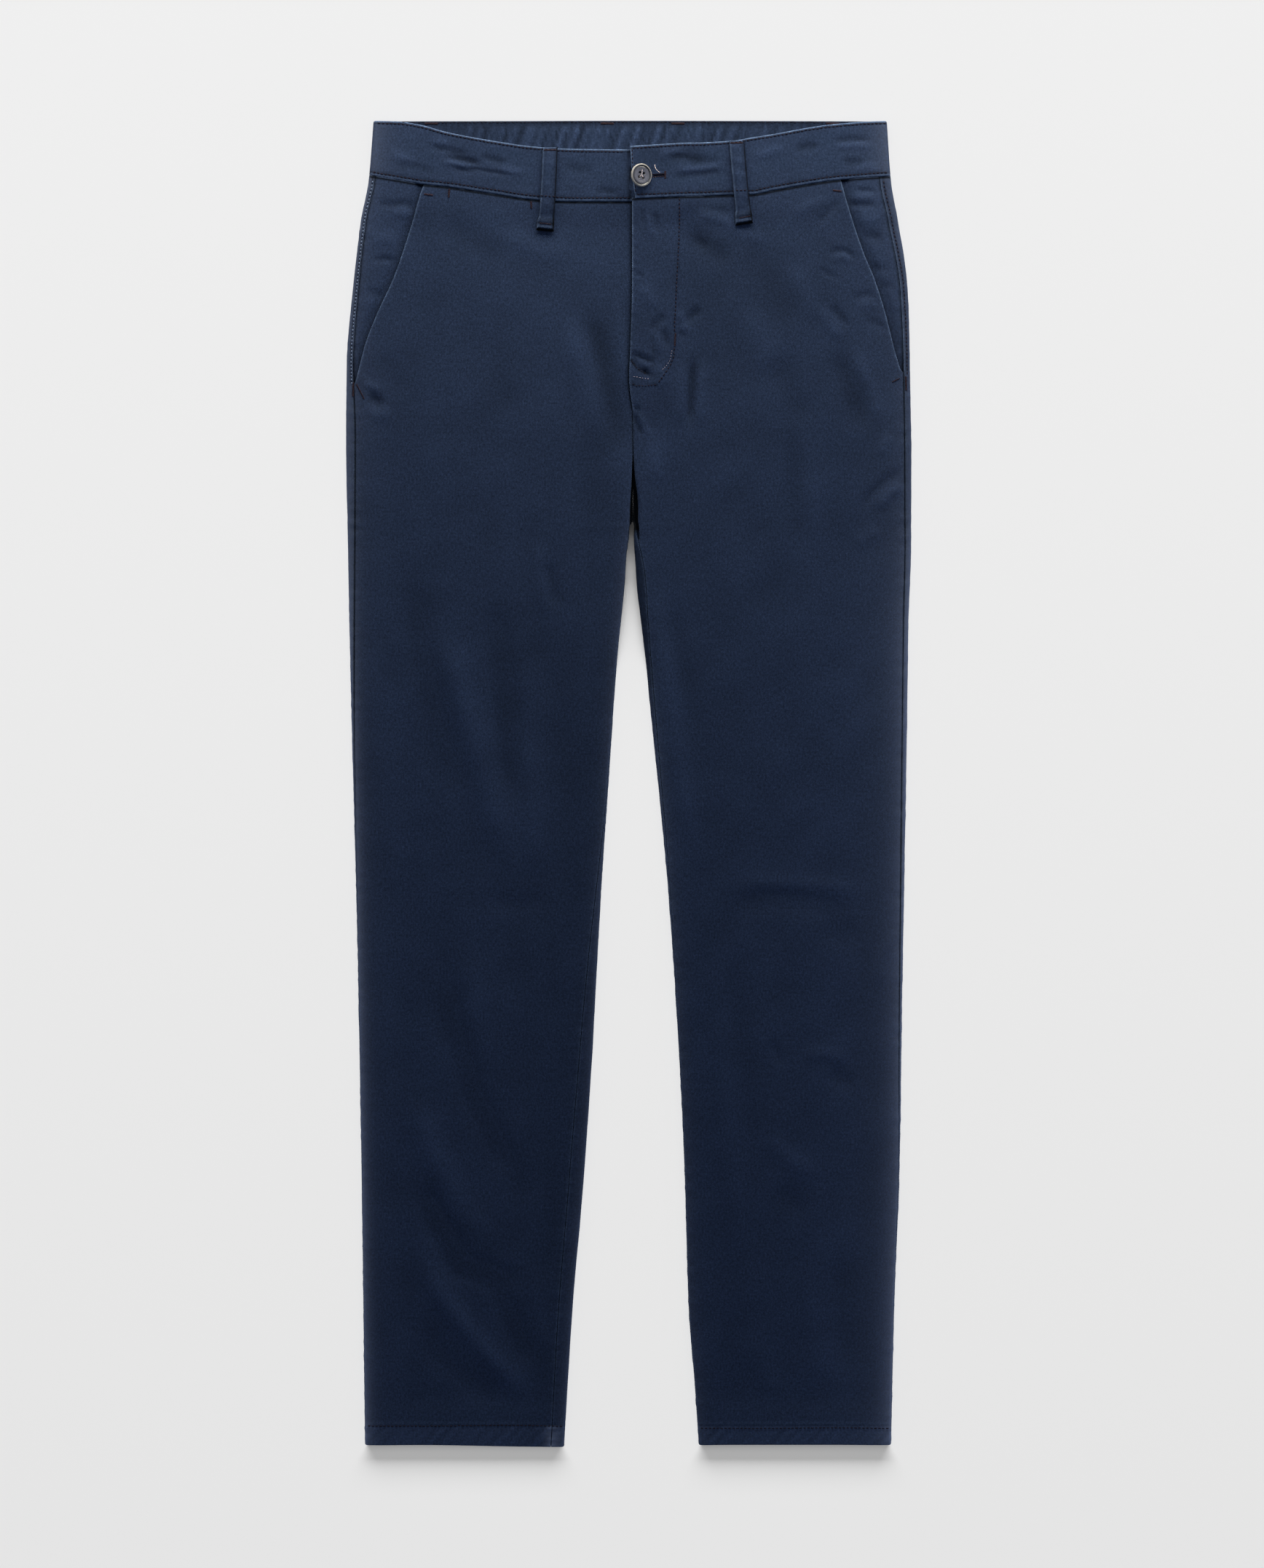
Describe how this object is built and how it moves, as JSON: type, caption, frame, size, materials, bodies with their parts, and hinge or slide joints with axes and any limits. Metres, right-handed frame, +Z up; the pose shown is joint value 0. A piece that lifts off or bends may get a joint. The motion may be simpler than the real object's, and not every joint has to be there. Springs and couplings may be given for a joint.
{
  "type": "chino trousers laid flat",
  "caption": "Slim navy cotton chino trousers laid flat on their back, with slanted front pockets, belt loops, a button and a covered fly.",
  "frame": {"origin": "on the surface that the trousers lie on, under the middle of their outline", "axes": "+X to the viewer's right, which is the wearer's left; +Y from the hems to the waist; +Z up, out of the front"},
  "size_m": [0.4467, 1.05, 0.0131],
  "materials": {
    "navy_twill": "fine cotton twill, matt, slightly worn along the edges",
    "zip_tape": "woven tape",
    "button_shell": "satin, grey centre with a pale rim",
    "dark_thread": "dark brown sewing thread",
    "pale_thread": "pale pink sewing thread"
  },
  "bodies": {
    "root": {"back_panel_right": "navy_twill", "back_panel_left": "navy_twill", "front_panel_right": "navy_twill", "front_panel_left": "navy_twill", "pocket_facing_right": "navy_twill", "pocket_facing_left": "navy_twill", "waistband": "navy_twill", "belt_loop_front_right": "navy_twill", "belt_loop_front_left": "navy_twill", "belt_loop_back_right_side": "navy_twill", "belt_loop_back_right": "navy_twill", "belt_loop_back_left": "navy_twill", "belt_loop_back_left_side": "navy_twill", "fly_shield": "navy_twill", "fly_zip": "zip_tape", "button": "button_shell"}
  },
  "joints": []
}
